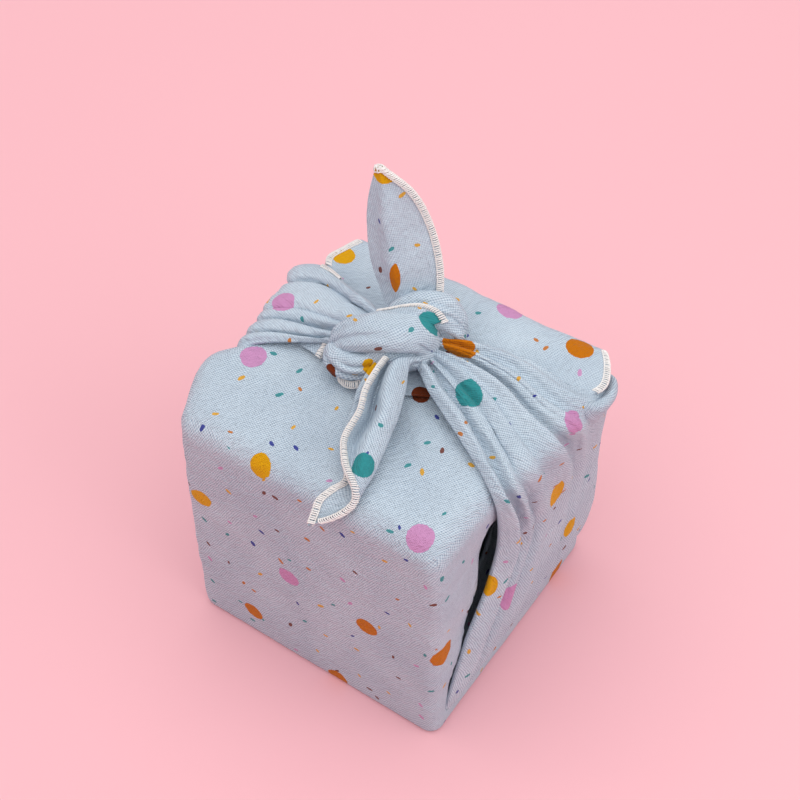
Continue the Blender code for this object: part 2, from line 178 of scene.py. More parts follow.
# name, across at each place, rise at each place
RIGHT_FOLDS = (
    ("front outline", 0, 0, 0, 0, 0, 0, 0, 0, -1.4, -2, -1.2, 0),
    ("front roll", 0.14, 0.07, 0.035, 0.06, 0.12, 0.07, 2.4, 3, 2.8, 3.2, 3, 0.5),
    ("front crease", 0.28, 0.15, 0.08, 0.12, 0.23, 0.14, 0.8, 0.8, 0.6, 0.4, 0, 0),
    ("second roll", 0.36, 0.23, 0.12, 0.16, 0.31, 0.2, 1.8, 2.4, 2.4, 2.6, 2, 0.4),
    ("behind the second roll", 0.42, 0.3, 0.17, 0.21, 0.38, 0.28, 1, 1.2, 1, 1, 0.8, 0.2),
    ("dotted panel", 0.5, 0.42, 0.27, 0.29, 0.46, 0.4, 1.8, 2.8, 2.2, 2, 1.6, 0.4),
    ("soft trough", 0.55, 0.5, 0.38, 0.38, 0.55, 0.52, 1.2, 1.8, 1.4, 1.2, 0.8, 0.2),
    ("lower ridge", 0.6, 0.6, 0.5, 0.52, 0.66, 0.64, 2, 3, 3, 3.4, 1.8, 0.4),
    ("deep crease", 0.65, 0.65, 0.555, 0.6, 0.73, 0.72, 0.2, -0.4, 0, -1, 0.2, 0),
    ("high ridge", 0.74, 0.74, 0.665, 0.7, 0.8, 0.8, 2.6, 3.4, 3, 2.8, 1.6, 0.5),
    ("upper crease", 0.84, 0.85, 0.755, 0.78, 0.86, 0.87, 1.4, 1.4, 1.4, 1.4, 0.8, 0.2),
    ("back ridge", 0.92, 0.93, 0.84, 0.86, 0.92, 0.93, 2.2, 2.6, 2.2, 1.8, 1.2, 0.4),
    ("behind the flap", 0.96, 0.97, 0.92, 0.94, 0.965, 0.97, 1, 0.6, 0.6, 0.8, 0.6, 0.2),
    ("back outline", 1, 1, 1, 1, 1, 1, 0, 0, -0.6, -0.4, 0, 0),
)
LEFT_FOLDS = (
    ("front outline", 0, 0, 0, 0, 0, 0, 0, 0, -1.4, -1.6, -1.2, 0),
    ("first ridge", 0.05, 0.035, 0.06, 0.08, 0.09, 0.06, 1.2, 1.4, 0.8, 1, 1.2, 0.4),
    ("first crease", 0.1, 0.075, 0.12, 0.16, 0.18, 0.14, 0.9, 1, 0.6, 0.6, 0.4, 0),
    ("second ridge", 0.18, 0.16, 0.2, 0.24, 0.26, 0.2, 1.6, 1.9, 0.9, 1.2, 1.4, 0.4),
    ("second crease", 0.26, 0.245, 0.28, 0.32, 0.34, 0.28, 1.2, 1.4, 0.7, 0.7, 0.6, 0),
    ("third ridge", 0.35, 0.34, 0.345, 0.38, 0.42, 0.36, 1.8, 2.2, 0.9, 1.2, 1.6, 0.4),
    ("third crease", 0.44, 0.42, 0.4, 0.44, 0.49, 0.44, 1.6, 2, 0.8, 0.8, 0.8, 0),
    ("dotted panel", 0.6, 0.56, 0.53, 0.56, 0.59, 0.56, 2.4, 3.2, 1.4, 1.6, 1.8, 0.5),
    ("panel's slope", 0.74, 0.74, 0.68, 0.69, 0.7, 0.7, 2, 2.6, 1.2, 1.2, 1.2, 0.3),
    ("deep crease", 0.86, 0.85, 0.77, 0.79, 0.8, 0.82, 1.4, 1.7, 1, 0.8, 0.6, 0),
    ("top roll", 0.94, 0.94, 0.89, 0.9, 0.91, 0.92, 2, 3, 1.8, 1.8, 1.8, 0.5),
    ("back outline", 1, 1, 1, 1, 1, 1, 0, 0, -1, -1.2, -1, 0),
)

# place, right end x, y, z, left end x, y, z
BACK_FLAP = (
    ("in the back panel", 55, 55.4, 106, -50, 55, 106),
    ("back panel", 56, 57.8, 119, -51, 55, 118),
    ("back edge", 58, 56.6, 130, -51, 53, 127.6),
    ("behind the edge", 64.5, 49.5, 132, -53.5, 44, 129.4),
    ("widest", 67, 38, 130.4, -55, 35, 130.2),
    ("narrowing", 47, 22, 129.2, -44, 26, 129.2),
    ("under the strands", 28, 10, 129.4, -26, 12, 129.4),
    ("corner", 5, -3, 129.2, -5, -3, 129.2),
)
# name, across at each place, rise at each place
FLAP_FOLDS = (
    ("right edge", 0, 0, 0, 0, 0, 0.6, 0.8, 0),
    ("right quarter", 0.22, 0.22, 0.22, 0.22, 0, -0.3, -0.4, 0),
    ("middle", 0.55, 0.55, 0.55, 0.55, 0, 0.5, 0.4, 0),
    ("left quarter", 0.82, 0.82, 0.82, 0.82, 0, -0.2, -0.4, 0),
    ("left edge", 1, 1, 1, 1, 0, 0.4, 0.8, 0),
)

# place, left edge x, y, z, right edge x, y, z
UPRIGHT_TAIL = (
    ("in the knot", -11, 14, 138, 3, 25, 140),
    ("root", -17.7, 20, 147, 0.5, 32.2, 150),
    ("lower third", -23.5, 22, 158, -3, 36.8, 162),
    ("middle", -27.8, 25, 170, -9.8, 40.5, 175),
    ("upper third", -31, 29.5, 184, -18, 40.5, 188),
    ("tip", -31.5, 35.6, 198, -29.2, 36.8, 198),
)
UPRIGHT_FOLDS = (
    ("left edge", 0, 0, 0, 0, 0, -3.4, -2.8, 0),
    ("left third", 0.16, 0.14, 0.16, 0.25, 1, -0.6, -0.6, 0),
    ("lengthwise crease", 0.34, 0.32, 0.32, 0.45, 0, 3.6, 3, 0),
    ("right panel", 0.66, 0.66, 0.64, 0.7, -1, 0.2, 0.1, 0),
    ("right edge", 1, 1, 1, 1, 0, -1.6, -1.2, 0),
)

# Its upper edge, the valley behind that, its roll, its right outline, its under layer and its lower edge.
HANGING_TAIL = (
    ("in the knot", -2, 4, 142, 0, 5, 140, 4, 7, 143, 8, 8, 141, 4, 6, 138, -1, 5, 138),
    ("root", -2.6, -2.2, 145, -1.4, -0.9, 140, 2, -1.6, 146.5, 6, 2.6, 143,
     0.8, 2.2, 139, -6.4, -1.9, 140.5),
    ("upper third", -0.6, -16.4, 145.4, 0.8, -12.6, 136.5, 5.4, -12.2, 145.5, 9.6, -5.6, 140.5,
     3.8, -7.5, 136, -5.4, -14.4, 140),
    ("upper middle", 2.6, -25.6, 143.4, 4.6, -21.6, 135, 9.7, -20.6, 143.4, 13.6, -16.1, 138.5,
     6.6, -18.2, 134, -2.6, -23, 138),
    ("middle", 3.7, -36.8, 140.8, 6.2, -33.6, 134.5, 11.6, -32.6, 140.8, 16.1, -26.3, 136.5,
     8.8, -29.2, 132.5, 0.6, -33.4, 136),
    ("lower middle", 8.4, -44.2, 138.6, 10.6, -42.2, 135.4, 14.9, -41, 138.8, 17.9, -34.7, 134.8,
     12, -37.8, 131.4, 5.5, -40.8, 133.5),
    ("over the mouth", 13.2, -48.2, 137, 14.6, -47.1, 136, 17.7, -46, 136.4, 19.1, -41.7, 133.2,
     14.8, -44.4, 129.8, 10.3, -46.1, 131),
    ("mouth", 17.2, -50.9, 134.8, 18.5, -50.2, 134.6, 19.5, -49.2, 134, 19.6, -47.4, 132.5,
     15.3, -50.2, 128.5, 8, -51.7, 129.5),
    ("curl", 18.6, -53.7, 131, 19.2, -53.2, 130.6, 19.2, -52.7, 130, 18.7, -51.6, 129.2,
     14.6, -55.6, 126.3, 6.1, -57.3, 127.8),
    ("near the tip", 15.5, -58.2, 127, 15.8, -58, 126.7, 16.1, -57.8, 126.4, 16, -57.3, 126,
     12.1, -59.6, 124.6, 6.8, -61.5, 125.8),
    ("tip", 8.3, -66.3, 123.2, 8.3, -66.2, 123.1, 8.2, -66.4, 123, 8.2, -66.4, 122.9,
     7.9, -66.2, 122.8, 7.7, -66.3, 123),
)

INNER_CORNER = (
    ("tip", -40.6, -4.2, 130.2, -40, -3.2, 130.4),
    ("middle", -34.6, -5, 130.6, -35.2, -0.4, 132.2),
    ("edge by the knot", -29.8, -5.4, 130.6, -30.4, 2, 134),
)
INNER_CORNER_FOLDS = (
    ("front edge", 0, 0, 0, 0, 0, 0, 0, 0),
    ("middle", 0.5, 0.5, 0.5, 0.5, 0, 0.3, 0.6, 0.6),
    ("back edge", 1, 1, 1, 1, 0, 0, 0, 0),
)

# The knot's own overlocked edge, which lies over the front band, and the one that shows below the lobe.
# place, inner line x, y, z, middle line x, y, z, edge x, y, z
KNOT_EDGE = (
    ("left end", -16.4, 9, 147.4, -15.8, 11.6, 149, -14.8, 13.8, 148.4),
    ("rising", -12.4, 9.6, 150, -11.6, 12.8, 151.4, -10.4, 15.8, 150.8),
    ("top left", -8, 11.4, 151.4, -7.2, 15.2, 152.7, -6, 19.2, 152.3),
    ("top", -4, 13.6, 151.6, -3, 18, 153.1, -1.6, 22, 152.9),
    ("top right", -0.6, 15.4, 150.8, 1, 19.8, 152.4, 2.8, 23.6, 152.3),
    ("falling", 1.6, 15.8, 149.4, 3.8, 20.2, 151.2, 6, 23.6, 151.2),
    ("right end", 3.4, 15.6, 147.6, 6, 20, 149.2, 8.4, 23.2, 149.4),
)
LOBE_EDGE = (
    ("left end", -17.2, -8.2, 134, -17.2, -10.2, 133.4, -16.6, -11.6, 132.4),
    ("left", -14.6, -8, 133.6, -14.4, -10.4, 132.8, -13.8, -12, 131.8),
    ("middle", -12.2, -7, 133.4, -11.8, -9.6, 132.6, -11, -11.2, 131.6),
    ("right end", -9.8, -5.2, 133.6, -9.2, -7.8, 133.2, -8.4, -9.2, 132.4),
)
# The right strand's back edge, which curls up round the end of the flap.
# place, inner line x, y, z, rim x, y, z, outer line x, y, z, lower line x, y, z
RIGHT_CURL = (
    ("out of the back ridge", 57, 35, 130, 58.5, 31.5, 132.4, 60, 29, 131, 60.5, 26, 126),
    ("before the flap", 62, 35, 128.5, 64, 31.6, 132.2, 66, 29.2, 129.5, 64.5, 27, 120),
    ("at its corner", 65.4, 36.6, 127.6, 68.2, 33.6, 131.2, 70, 32.2, 127.5, 66, 32, 115),
    ("beside its end", 66.6, 39.6, 127, 70, 38.2, 130.3, 71.4, 37.8, 126.2, 66.4, 38.5, 112),
    ("behind its end", 66, 44, 126.6, 69.6, 44.5, 129.4, 70.6, 45.2, 125.4, 65, 45, 113),
    ("at the back", 64, 48, 126, 66.4, 50, 128.2, 66.8, 50.8, 124.4, 62, 49, 114),
    ("into the back panel", 58, 49, 125, 59.4, 51.6, 126.2, 59.6, 52.4, 123.6, 56.5, 50.5, 116),
)

# x, y, z, half width, half thickness
KNOT_ROLLS = {
    "core": ((-0.35, 0.93, 0), (
        (-20.1, 2.3, 136.1, 9, 7),
        (-8.9, 8.6, 138.1, 12, 8.4),
        (1.6, 14.6, 138, 9.5, 7.5),
        (8.3, 18.4, 137.3, 6, 5),
    )),
    "back_loop": ((-0.5, 0.7, 0.5), (
        (-12.5, 14.5, 144.5, 5.5, 3.5),
        (-4.4, 22, 148.6, 6.5, 3.5),
        (4.5, 26.6, 148.4, 6.8, 3.5),
        (10.4, 28.2, 143.6, 5.8, 3.5),
        (13.2, 27.6, 136.5, 5, 3.5),
    )),
    "front_band": ((-0.35, 0.93, 0), (
        (-24.6, -1.8, 134, 6.5, 4.5),
        (-22.8, 0.9, 141.1, 7.5, 5),
        (-14.2, 4.6, 146, 8.3, 5.5),
        (-5, 9.2, 147.6, 8.8, 5.6),
        (1.2, 14.6, 146.4, 8.6, 5.4),
        (4.6, 16.6, 141, 7, 5),
        (4.4, 15.6, 136, 6, 4.5),
    )),
    "left_lobe": ((0, 0, 1), (
        (-24.2, -0.8, 136, 6, 5),
        (-21.2, -5.6, 136, 6.4, 5.2),
        (-14.9, -6.6, 136, 6.4, 5.4),
        (-9.2, -1.8, 136, 6, 5),
        (-7.5, 4, 136, 5, 4.5),
    )),
}

# Creases of the knot's rolls: soft troughs that run along them, and turn from one angle to another.
# angle at its start, angle at its end, depth, half width in degrees, from place, to place
ROLL_CREASES = {
    "front_band": (
        (40, 20, 1.8, 16, -0.2, 0.4),
        (95, 60, 1.4, 14, -0.2, 0.35),
        (140, 120, 1.6, 16, -0.2, 0.5),
        (175, 150, 1.2, 12, 0.55, 1.2),
        (60, 80, 1.2, 12, 0.7, 1.2),
        (10, 30, 1.4, 12, 0.62, 1.2),
    ),
    "left_lobe": (
        (60, 95, 2.2, 15, 0.15, 1.2),
        (110, 125, 1.8, 13, 0.3, 1.2),
        (20, 50, 1.8, 14, 0.35, 1.2),
        (150, 170, 1.6, 14, -0.2, 0.7),
    ),
    "back_loop": (
        (60, 80, 1.4, 14, -0.2, 1.2),
        (120, 105, 1.6, 15, 0.3, 1.2),
        (150, 130, 1.2, 12, 0.55, 1.2),
    ),
}

# Sharp creases of the strands, where one pleat lies over the next.
# name, place among the folds, depth, front share, back share, from, to
RIGHT_CREASES = (
    ("front crease", 2, 3.4, 0.012, 0.026, -0.04, 1),
    ("on the second roll", 3.1, 1.2, 0.008, 0.014, 0.02, 0.5),
    ("behind the second roll", 4.1, 2.2, 0.01, 0.024, -0.02, 0.95),
    ("in the dotted panel", 5.6, 1.2, 0.008, 0.02, 0.1, 0.6),
    ("deep crease", 7.7, 3.8, 0.014, 0.034, -0.04, 0.62),
    ("on the high ridge", 8.8, 1.4, 0.008, 0.02, 0.02, 0.44),
    ("upper crease", 9.8, 2.6, 0.014, 0.024, -0.02, 0.46),
    ("low on the side", 8.2, 0.8, 0.01, 0.03, 0.5, 0.98),
)
LEFT_CREASES = (
    ("first crease", 2, 3.8, 0.006, 0.022, 0.08, 0.95),
    ("second crease", 4, 4.4, 0.006, 0.024, 0.08, 0.95),
    ("third crease", 6, 1.2, 0.008, 0.016, 0.08, 0.9),
    ("in the dotted panel", 7.4, 0.5, 0.008, 0.02, 0.1, 0.5),
    ("deep crease", 9, 4, 0.03, 0.006, 0.06, 0.9),
    ("on the top roll", 9.9, 0.8, 0.008, 0.014, 0.1, 0.45),
)


def smooth_rows(rows, places):
    """Values on the smooth curves through equally spaced rows, read at places from 0 to 1."""
    rows = np.asarray(rows, dtype=float)
    padded = np.vstack((2 * rows[0] - rows[1], rows, 2 * rows[-1] - rows[-2]))
    spot = np.clip(np.asarray(places, dtype=float), 0.0, 1.0) * (len(rows) - 1)
    start = np.minimum(spot.astype(int), len(rows) - 2)
    t = (spot - start)[:, None]
    before, left, right, after = (padded[start + step] for step in range(4))
    return 0.5 * (2 * left + (right - before) * t
                  + (2 * before - 5 * left + 4 * right - after) * t ** 2
                  + (3 * left - before - 3 * right + after) * t ** 3)


def unit(vectors):
    return vectors / np.maximum(np.linalg.norm(vectors, axis=-1, keepdims=True), 1e-9)


def grid_normals(grid):
    return unit(np.cross(np.gradient(grid, axis=1), np.gradient(grid, axis=0)))


def softened(rows, reach):
    """Each row averaged with its neighbours, the near ones counting most. The two ends stay."""
    weights = np.hanning(2 * reach + 3)[1:-1]
    before, after = 2 * rows[:1] - rows[reach:0:-1], 2 * rows[-1:] - rows[-2:-reach - 2:-1]
    padded = np.concatenate((before, rows, after))
    total = sum(weight * padded[k:k + len(rows)] for k, weight in enumerate(weights))
    return total / weights.sum()


def strip_grid(stations, folds, steps, per_fold, fold_places=FOLD_PLACES, facing=1):
    """Points of a folded strip: a row for each section from its first station to its last.

    Facing is -1 where the strip runs the other way round, so that its folds still rise outward."""
    reach = steps // SOFTENED_PART
    places = np.linspace(0.0, 1.0, steps + 1)
    rails = softened(smooth_rows([row[1:] for row in stations], places), reach)
    front, back = rails[:, :3], rails[:, 3:]
    across = back - front
    along = np.gradient((front + back) / 2, axis=0)
    lift = facing * unit(softened(unit(np.cross(across, along)), reach))
    count = len(fold_places)
    between = np.linspace(0.0, 1.0, (len(folds) - 1) * per_fold + 1)

    def across_folds(columns):
        values = np.array([np.interp(places, fold_places, row[columns]) for row in folds])
        return smooth_rows(softened(values.T, reach).T, between).T[:, :, None]

    share, rise = across_folds(slice(1, 1 + count)), across_folds(slice(1 + count, None))
    return front[:, None] + across[:, None] * share + lift[:, None] * (rise + SKIN)


def lines_grid(stations, steps, per_line):
    """Points of a sheet through lines that run along it, from rows of their points."""
    rows = smooth_rows([row[1:] for row in stations], np.linspace(0.0, 1.0, steps + 1))
    lines = rows.reshape(len(rows), -1, 3)
    between = np.linspace(0.0, 1.0, (lines.shape[1] - 1) * per_line + 1)
    return np.stack([smooth_rows(line, between) for line in lines])


def window(places, first, last, fades):
    """One between two places and zero beyond them, with a fade at each."""
    return np.clip((places - first) / fades[0], 0, 1) * np.clip((last - places) / fades[1], 0, 1)


def creased(grid, folds, creases, facing=1):
    """The strip with sharp creases: each is steep on the side where the next pleat lies over it."""
    places = np.linspace(0.0, 1.0, len(grid))
    share = np.linspace(0.0, 1.0, grid.shape[1])
    normals = facing * unit(softened(grid_normals(grid), len(grid) // CREASED_PART))
    moved = grid.copy()
    for _, fold, depth, front, back, first, last in creases:
        away = share[None, :] - fold / (len(folds) - 1)
        inside = window(places, first, last, CREASE_FADES)
        fall = np.where(away < 0, np.exp(away / front), np.exp(-away / back))
        moved -= normals * (depth * inside[:, None] * fall)[:, :, None]
    return moved


def rolled_under(grid, side, radius, tuck, facing=1):
    """The strip with its outline rolled under: side 0 is the front outline and side -1 the back one."""
    edge = grid[:, side]
    inward = unit(grid[:, grid.shape[1] // 2] - edge)
    normal = facing * unit(np.cross(grid[:, -1] - grid[:, 0], np.gradient(edge, axis=0)))
    inward = unit(inward - normal * (inward * normal).sum(axis=1, keepdims=True))
    turns = np.radians(np.linspace(*RIM_TURN))
    rows = [edge + inward * (radius + tuck) - normal * (RIM_DEPTH * radius)]
    rows += [edge + inward * (radius - radius * cos(a)) - normal * (radius * sin(a))
             for a in turns]
    extra = np.stack(rows, axis=1)
    return np.hstack((extra, grid)) if side == 0 else np.hstack((grid, extra[:, ::-1]))


def crumpled(grid, height, across_size, along_size, seed):
    """The grid with soft uneven wrinkles. The sizes are in millimetres."""
    normals = grid_normals(grid)
    u, v = arc_lengths(grid)
    moved = grid.copy()
    for at in np.ndindex(u.shape):
        spot = Vector((u[at] / across_size, v[at] / along_size, seed * SEED_STEP))
        moved[at] += normals[at] * height * noise.fractal(spot, *WRINKLE_NOISE)
    return moved


def arc_lengths(grid):
    """Millimetres across and along the cloth at each point of a grid."""
    across = np.linalg.norm(np.diff(grid, axis=1), axis=2)
    along = np.linalg.norm(np.diff(grid, axis=0), axis=2).mean(axis=1, keepdims=True)
    u = np.pad(np.cumsum(across, axis=1), ((0, 0), (1, 0)))
    v = np.pad(np.cumsum(along, axis=0), ((1, 0), (0, 0))) * np.ones((1, grid.shape[1]))
    return u - u[:, -1:] / 2, v


def roll_grid(name, steps=64, sides=72, seam=8.0):
    """A bundle of cloth along a curved run, as one sheet rolled round it, with its seam underneath."""
    direction, sections = KNOT_ROLLS[name]
    places = 0.5 - 0.5 * np.cos(np.linspace(0.0, pi, steps + 1))
    run = smooth_rows(sections, places)
    centre, half_width, half_thickness = run[:, :3], run[:, 3:4], run[:, 4:5]
    along = unit(np.gradient(centre, axis=0))
    thick = unit(np.cross(along, direction))
    wide = np.cross(thick, along)
    taper = np.sqrt(np.clip(1 - (2 * places - 1) ** ROLL_BLUNTNESS, ROLL_END, 1.0))[:, None]
    columns = []
    for degrees in np.linspace(270 - seam, -90 + seam, sides + 1):
        angle = radians(degrees)
        spoke = wide * half_width * cos(angle) + thick * half_thickness * sin(angle)
        size = np.linalg.norm(spoke, axis=1)
        drop = np.zeros(len(places))
        for start, end, depth, half, first, last in ROLL_CREASES.get(name, ()):
            at = start + (end - start) * places
            inside = window(places, first, last, ROLL_FADES)
            drop += depth * inside * np.exp(-((degrees - at) / half) ** 2)
        columns.append(centre + taper * spoke * (1 - drop / size)[:, None])
    return np.stack(columns, axis=1)


def ring_points(half_x, half_y, radius):
    """Points round a rounded rectangle, anticlockwise seen from above."""
    quarters = ((1, 1), (-1, 1), (-1, -1), (1, -1))
    centres = [np.array((x * (half_x - radius), y * (half_y - radius))) for x, y in quarters]
    points = []
    for corner, centre in enumerate(centres):
        angles = radians(90) * (corner + np.linspace(0.0, 1.0, CORNER_STEPS + 1))
        arc = centre + radius * np.column_stack((np.cos(angles), np.sin(angles)))
        far = centres[(corner + 1) % 4] + radius * np.array((cos(angles[-1]), sin(angles[-1])))
        points.extend(arc)
        points.extend(arc[-1] + (far - arc[-1]) * step / SIDE_STEPS for step in range(1, SIDE_STEPS))
    return np.array(points)


def body_profile():
    """Inset from the walls and height of each ring, from the middle of the bottom to that of the top."""
    turns = np.linspace(0.0, radians(90), EDGE_STEPS + 1)
    reach = CAP_REACH * BODY_DEPTH / 2
    low, high = BOTTOM_EDGE_RADIUS, TOP_EDGE_RADIUS
    bottom = [(inset, 0.0) for inset in np.linspace(reach, low, CAP_STEPS, endpoint=False)]
    bottom_edge = [(low * (1 - sin(a)), low * (1 - cos(a))) for a in turns]
    heights = np.linspace(low, BODY_HEIGHT - high, WALL_STEPS + 1)[1:-1]
    wall = [(0.0, height) for height in heights]
    top_edge = [(high * (1 - cos(a)), BODY_HEIGHT - high * (1 - sin(a))) for a in turns]
    top = [(inset, BODY_HEIGHT) for inset in np.linspace(high, reach, CAP_STEPS + 1)[1:]]
    return bottom + bottom_edge + wall + top_edge + top


def settle(points):
    """The points moved by the body's soft bulges, and into the pocket along its line."""
    moved = points.copy()
    grounded = np.clip(points[:, 2:] / GROUND_FADE, 0.0, 1.0)
    for _, x, y, z, reach, push_x, push_y, push_z in BULGES:
        distance = np.linalg.norm(points - (x, y, z), axis=1, keepdims=True)
        moved += grounded * np.exp(-(distance / reach) ** 2) * (push_x, push_y, push_z)
    line = np.array(POCKET_LINE)
    line_y, depth, turn = (np.interp(points[:, 2], line[:, 0], line[:, k]) for k in (1, 2, 3))
    on_right = np.clip((points[:, 0] - POCKET_SIDE[0]) / POCKET_SIDE[1], 0.0, 1.0)
    behind = points[:, 1] - line_y
    fall = np.clip(behind / turn, 0.0, 1.0)
    rise_again = np.clip((POCKET_BACK[0] - behind) / POCKET_BACK[1], 0.0, 1.0)
    moved[:, 0] -= on_right * depth * fall ** 2 * (3 - 2 * fall) * rise_again
    return moved


def bridge(bm, lower, upper):
    """Faces between two rings of corners."""
    for k in range(len(lower)):
        after = (k + 1) % len(lower)
        bm.faces.new((lower[k], lower[after], upper[after], upper[k]))


def body_mesh():
    """The closed skin of the body, with its creases, as a mesh with cloth coordinates."""
    rings = []
    for inset, height in body_profile():
        radius = max(UPRIGHT_EDGE_RADIUS - inset / 2, LEAST_CORNER_RADIUS)
        ring = ring_points(BODY_WIDTH / 2 - inset, BODY_DEPTH / 2 - inset, radius)
        rings.append(settle(np.hstack((ring, np.full((len(ring), 1), float(height))))))
    bm = bmesh.new()
    loops = [[bm.verts.new(point) for point in ring] for ring in rings]
    for lower, upper in zip(loops, loops[1:]):
        bridge(bm, lower, upper)
    for end in (0, -1):
        middle = bm.verts.new(rings[end].mean(axis=0))
        for here, after in zip(loops[end], loops[end][1:] + loops[end][:1]):
            bm.faces.new((here, after, middle))
    bmesh.ops.recalc_face_normals(bm, faces=bm.faces)
    bm.normal_update()
    for vert in bm.verts:
        at = vert.co
        calm = min(max(at.z / GROUND_FADE, 0.0), 1.0)
        lift = 0.0
        for height, lean, width, length, shift, octaves in RIPPLES:
            x, z = at.x + lean * at.z, at.z - lean * at.x
            spot = Vector((x / width, at.y / width, z / length + shift))
            lift += height * noise.fractal(spot, *RIPPLE_NOISE, octaves)
        vert.co += vert.normal * calm * lift
        vert.co.z = max(vert.co.z + gather(vert.co), SHEET / 2)
    layer = bm.loops.layers.uv.new("Cloth")
    for face in bm.faces:
        middle, facing = face.calc_center_median(), face.normal
        for loop in face.loops:
            loop[layer].uv = cloth_place(loop.vert.co, facing, middle)
    return bm


def gather(at):
    """The height of the soft pleats of the top, which run out from the knot and fade."""
    if at.z < GATHER_LEVEL:
        return 0.0
    way = Vector((at.x, at.y)) - Vector(GATHER_MIDDLE)
    turn = atan2(way.y, way.x)
    pleat = noise.noise(Vector((GATHER_COUNT * cos(turn), GATHER_COUNT * sin(turn),
                                way.length / GATHER_LENGTH)))
    fade = min((at.z - GATHER_LEVEL) / GATHER_RISE, 1.0)
    fade *= min(max((GATHER_BACK - at.y) / GATHER_FADE, 0.0), 1.0)
    return GATHER_HEIGHT * pleat * exp(-way.length / GATHER_REACH) * fade


def cloth_place(at, facing, middle):
    """Where a point of the body lies in the flat cloth, in millimetres."""
    half_x, half_y = BODY_WIDTH / 2, BODY_DEPTH / 2
    if abs(facing.z) > LEVEL_FACING:
        return (at.x, at.z + at.y + half_y) if middle.z > BODY_HEIGHT / 2 else (at.x, -at.y - half_y)
    if abs(facing.x) > abs(facing.y):
        return (half_x + at.y + half_y, at.z) if facing.x > 0 else (-half_x - at.y - half_y, at.z)
    return (at.x, at.z) if facing.y < 0 else (-at.x + 2 * (half_x + half_y), at.z)


def new_object(name, data):
    """An object in the scene with this mesh, lamp or camera."""
    thing = bpy.data.objects.new(name, data)
    bpy.context.collection.objects.link(thing)
    return thing


def add_piece(name, bm, material, thickness=SHEET):
    """An object from a mesh in millimetres, with its material and the thickness of its cloth."""
    for vert in bm.verts:
        vert.co *= MM
    mesh = bpy.data.meshes.new(name)
    bm.to_mesh(mesh)
    bm.free()
    mesh.shade_smooth()
    mesh.materials.append(material)
    piece = new_object(name, mesh)
    if thickness:
        solid = piece.modifiers.new("cloth thickness", "SOLIDIFY")
        solid.thickness = thickness * MM
        solid.offset = 0.0
        solid.thickness_clamp = 0.9
    return piece


def sheet(name, grid, material, flat, held="folded", area=None, thickness=SHEET):
    u, v = arc_lengths(grid)
    bm = bmesh.new()
    layer = bm.loops.layers.uv.new("Cloth")
    rows = [[bm.verts.new(point) for point in row] for row in grid]
    for i in range(len(rows) - 1):
        for j in range(len(rows[0]) - 1):
            corners = ((i, j), (i, j + 1), (i + 1, j + 1), (i + 1, j))
            face = bm.faces.new([rows[a][b] for a, b in corners])
            for loop, (a, b) in zip(face.loops, corners):
                loop[layer].uv = (u[a, b], v[a, b])
    return add_piece(name, bm, material, thickness), flat, held, area


def cut(piece, cutter):
    """Takes the cutter's space away from the piece for good."""
    modifier = piece.modifiers.new("cut", "BOOLEAN")
    modifier.operation = "DIFFERENCE"
    modifier.solver = "EXACT"
    modifier.object = cutter
    graph = bpy.context.evaluated_depsgraph_get()
    mesh = bpy.data.meshes.new_from_object(piece.evaluated_get(graph))
    piece.modifiers.clear()
    piece.data = mesh
    bpy.data.objects.remove(cutter)


def pocket_form():
    """The block that cuts the slit of the pocket."""
    bm = bmesh.new()
    ends = [[bm.verts.new((x, y, z)) for _, y, z in POCKET_OUTLINE] for x in POCKET_CUT]
    bridge(bm, *ends)
    bm.faces.new(ends[0])
    bm.faces.new(ends[1])
    bmesh.ops.recalc_face_normals(bm, faces=bm.faces)
    return add_piece("pocket_cut", bm, plain, 0)


# ---- Materials ----

def feed(tree, socket, value):
    """Sets an input, or links it where the value comes out of another node."""
    if isinstance(value, bpy.types.NodeSocket):
        tree.links.new(value, socket)
    else:
        socket.default_value = value


def add(tree, kind, settings=(), **inputs):
    """A node with its settings and inputs. An input named i0, i1 and so on goes by its place."""
    node = tree.nodes.new("ShaderNode" + kind)
    for key, value in dict(settings).items():
        setattr(node, key, value)
    for key, value in inputs.items():
        feed(tree, node.inputs[int(key[1:]) if key[0] == "i" and key[1:].isdigit() else key], value)
    return node


def calc(tree, operation, a, b=0.0, c=0.0):
    return add(tree, "Math", {"operation": operation}, i0=a, i1=b, i2=c).outputs[0]


def scaled(tree, value, gain, base=0.0):
    return calc(tree, "MULTIPLY_ADD", value, gain, base)


def vector_calc(tree, operation, **inputs):
    node = add(tree, "VectorMath", {"operation": operation}, **inputs)
    return node.outputs["Value" if operation == "LENGTH" else "Vector"]


def noise_value(tree, at, scale, detail=2.0, dimensions="2D", output="Fac"):
    node = add(tree, "TexNoise", {"noise_dimensions": dimensions}, Vector=at, Scale=scale, Detail=detail)
    return node.outputs[output]


def turned(tree, at, angle):
    return add(tree, "VectorRotate", {"rotation_type": "Z_AXIS"}, Vector=at, Angle=angle).outputs[0]


def blend_colour(tree, share, a, b):
    return add(tree, "Mix", {"data_type": "RGBA"}, Factor=share, i6=a, i7=b).outputs[2]


def srgb(red, green, blue):
    """A colour as it is written for screens, in linear light."""
    parts = [value / 255 for value in (red, green, blue)]
    return tuple(v / 12.92 if v <= 0.04045 else ((v + 0.055) / 1.055) ** 2.4 for v in parts) + (1.0,)


def new_material(name, finish):
    """A material, its node tree and its shader, with the shader's inputs set by name."""
    material = bpy.data.materials.new(name)
    material.use_nodes = True
    shader = material.node_tree.nodes["Principled BSDF"]
    for key, value in finish.items():
        shader.inputs[key].default_value = value
    return material, material.node_tree, shader


